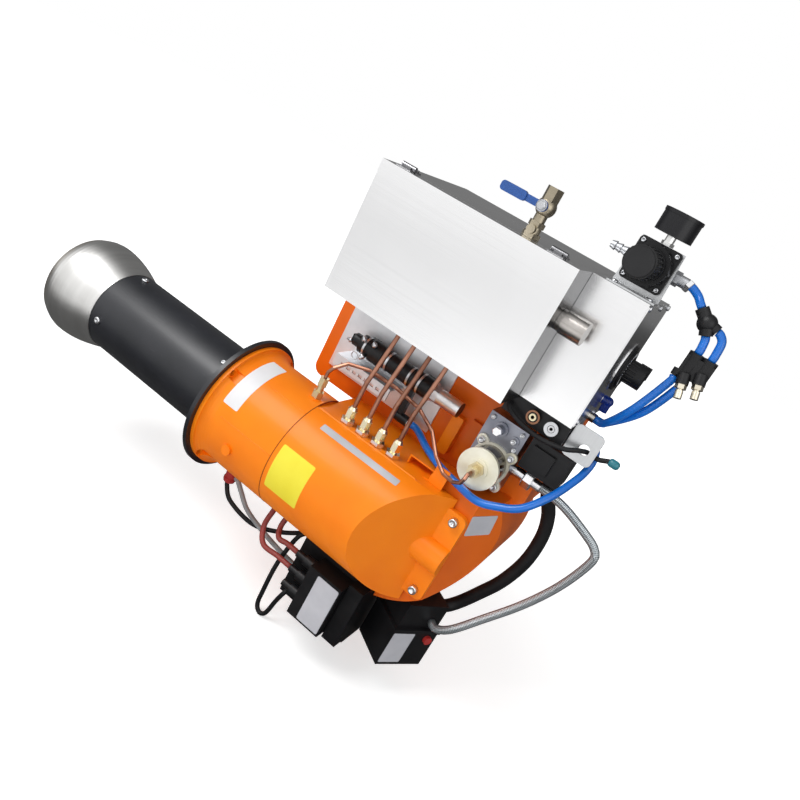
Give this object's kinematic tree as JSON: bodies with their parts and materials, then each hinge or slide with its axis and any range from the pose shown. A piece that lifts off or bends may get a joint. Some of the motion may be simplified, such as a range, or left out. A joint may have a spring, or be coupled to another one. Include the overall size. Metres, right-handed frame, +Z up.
{
  "type": "waste oil burner",
  "caption": "Pressure-jet waste oil burner with blast tube, fan, heated oil tank, pump, air regulator and ignition gear.",
  "frame": {"origin": "centre of the front face of the black mounting flange, on the axis of the blast tube", "axes": "-X along the blast tube, towards the flame; +Z up; -Y to the side that carries the copper pipes"},
  "size_m": [0.8365, 0.4533, 0.7118],
  "materials": {
    "black_steel": "heat-proof black paint, satin",
    "stainless": "bright brushed stainless sheet",
    "orange_casting": "orange enamel on cast aluminium, gloss",
    "grey_casting": "grey paint, satin",
    "zinc_plate": "white zinc plating",
    "galvanised_sheet": "galvanised sheet",
    "die_cast": "bare die casting",
    "brass": "machined brass",
    "copper": "drawn copper tube",
    "ceramic": "glazed ceramic",
    "red_plastic": "moulded",
    "blue_plastic": "dipped vinyl sleeve",
    "black_plastic": "moulded, satin",
    "blue_hose": "polyurethane air hose",
    "black_rubber": "rubber and PVC sheath",
    "braid": "stainless wire braid",
    "grey_sheath": "grey woven sleeve over a cable",
    "red_silicone": "silicone ignition cable"
  },
  "bodies": {
    "burner": {"mount_flange": "black_steel", "blast_tube": "black_steel", "nozzle_head": "stainless", "front_duct": "orange_casting", "main_housing": "orange_casting", "fan_housing": "orange_casting", "air_inlet": "orange_casting", "motor": "grey_casting", "air_diffuser": "stainless", "oil_lance": "brass", "electrodes": "ceramic", "photocell": "red_plastic", "tank_shell": "stainless", "heater_coupling": "stainless", "control_cabinet": "stainless", "gland_box": "black_plastic", "bracket_plate": "stainless", "thermostat_dial": "black_plastic", "regulator_bracket": "stainless", "regulator_body": "die_cast", "regulator_bonnet": "black_plastic", "pressure_gauge": "black_steel", "y_connector": "black_plastic", "flow_block": "black_plastic", "pump_block": "die_cast", "pump_head": "zinc_plate", "pump_outlet": "brass", "solenoid_valve": "black_plastic", "valve_plate": "zinc_plate", "feed_pipes": "copper", "pipe_fittings": "brass", "thin_pipe": "copper", "angle_frame": "orange_casting", "terminal_box": "black_plastic", "transformer": "black_plastic", "control_box": "black_plastic", "hose_outlet": "blue_hose", "hose_upper": "blue_hose", "hose_lower_1": "blue_hose", "hose_lower_2": "blue_hose", "hose_long": "blue_hose", "sag_cable": "black_rubber", "conduit": "black_rubber", "braided_hose": "braid", "ignition_lead_1": "red_silicone", "ignition_lead_2": "red_silicone", "cell_cable": "black_rubber", "loop_cable": "black_rubber", "sleeve_cable": "grey_sheath"},
    "fan": {"fan_wheel": "galvanised_sheet"},
    "lid": {"tank_lid": "stainless", "valve_body": "brass"},
    "lever": {"valve_lever": "blue_plastic"},
    "band": {"air_band": "zinc_plate"},
    "thermostat": {"thermostat_knob": "black_plastic"},
    "spindle": {"regulator_spindle": "brass"},
    "knob": {"regulator_knob": "black_plastic"},
    "flow_1": {"flow_screw_1": "brass"},
    "flow_2": {"flow_screw_2": "brass"},
    "button": {"reset_button": "red_plastic"}
  },
  "joints": [
    {"name": "fan_spin", "type": "hinge", "parent": "burner", "child": "fan", "pos_m": [0.25, 0.12, 0.025], "axis": [0, 1, 0], "continuous": true},
    {"name": "air_band_turn", "type": "hinge", "parent": "burner", "child": "band", "pos_m": [0.25, 0.2, 0.025], "axis": [0, 1, 0], "range_deg": [0, 30]},
    {"name": "lid_hinge", "type": "hinge", "parent": "burner", "child": "lid", "pos_m": [0.195, -0.012, 0.3856], "axis": [1, 0, 0], "range_deg": [0, 95]},
    {"name": "valve_lever_turn", "type": "hinge", "parent": "lid", "child": "lever", "pos_m": [0.249, -0.012, 0.418], "axis": [0, 1, 0], "range_deg": [0, 90]},
    {"name": "thermostat_turn", "type": "hinge", "parent": "burner", "child": "thermostat", "pos_m": [0.41, 0.112, 0.297], "axis": [1, 0, 0], "range_deg": [0, 270]},
    {"name": "regulator_turn", "type": "hinge", "parent": "burner", "child": "spindle", "pos_m": [0.369, 0.02, 0.416], "axis": [0, 1, 0], "range_deg": [-720, 720]},
    {"name": "regulator_pull", "type": "slide", "parent": "spindle", "child": "knob", "axis": [0, -1, 0], "range_m": [0, 0.002]},
    {"name": "flow_screw_1_turn", "type": "hinge", "parent": "burner", "child": "flow_1", "pos_m": [0.462, 0.06, 0.334], "axis": [0.2756, -0.3288, -0.9033], "range_deg": [0, 1080]},
    {"name": "flow_screw_2_turn", "type": "hinge", "parent": "burner", "child": "flow_2", "pos_m": [0.477, 0.06, 0.342], "axis": [0.2756, -0.3288, -0.9033], "range_deg": [0, 1080]},
    {"name": "reset_press", "type": "slide", "parent": "burner", "child": "button", "axis": [-0.832, 0.5548, 0], "range_m": [0, 0.003], "stiffness_N_per_m": 300, "springref_m": -0.001}
  ]
}
